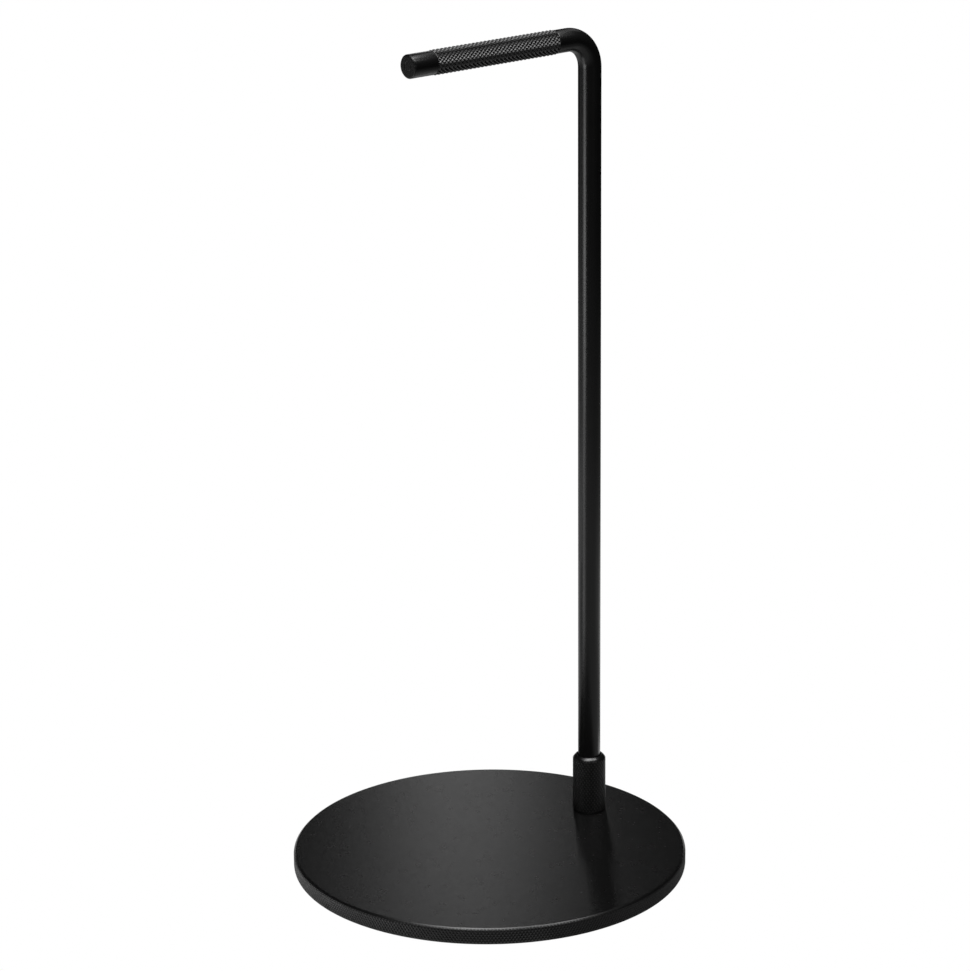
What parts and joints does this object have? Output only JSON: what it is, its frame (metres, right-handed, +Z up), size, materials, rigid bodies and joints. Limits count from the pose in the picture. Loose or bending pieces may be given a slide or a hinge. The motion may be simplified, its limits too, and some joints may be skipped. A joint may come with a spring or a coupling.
{
  "type": "headphone stand",
  "caption": "Desk stand for headphones: a heavy round base with a knurled rim, a bent post and arm with a knurled grip, and a knurled union nut round the foot of the post.",
  "frame": {"origin": "bottom centre of the round base, on the surface that the stand rests on", "axes": "+Z up along the post, -Y from the post towards the free end of the arm, x = 0 is the mirror plane"},
  "size_m": [0.17, 0.17, 0.3592],
  "materials": {
    "powder_coat": "fine satin black powder coat",
    "knurled_coat": "satin black coat over a diamond knurl, worn a little lighter on the points",
    "bare_steel": "turned bare steel",
    "black_screw": "black oxide",
    "pad_rubber": "matte black silicone rubber with a fine leather grain",
    "o_ring_rubber": "smooth black nitrile rubber",
    "nylon": "natural nylon",
    "adhesive_film": "double-sided adhesive film"
  },
  "bodies": {
    "stand": {"base_plate": "powder_coat", "base_pad": "pad_rubber", "pad_adhesive": "adhesive_film", "post_socket": "bare_steel", "socket_dowel": "bare_steel", "base_screw": "black_screw", "post_rod": "powder_coat", "post_key": "bare_steel", "snap_ring": "bare_steel", "thrust_washer": "nylon", "grip_sleeve": "knurled_coat", "end_cap": "powder_coat", "cap_stud": "bare_steel"},
    "friction_ring": {"collar_o_ring": "o_ring_rubber"},
    "collar": {"collar_nut": "knurled_coat"}
  },
  "joints": [
    {"name": "collar_rise", "type": "slide", "parent": "stand", "child": "friction_ring", "axis": [0, 0, 1], "range_m": [0, 0.00525]},
    {"name": "collar_turn", "type": "hinge", "parent": "friction_ring", "child": "collar", "pos_m": [0, 0.0589, 0.021], "axis": [0, 0, 1], "range_deg": [0, 2520]}
  ],
  "couplings": [
    {"joint": "collar_rise", "follows": "collar_turn", "m_per_rad": 0.00011937}
  ]
}
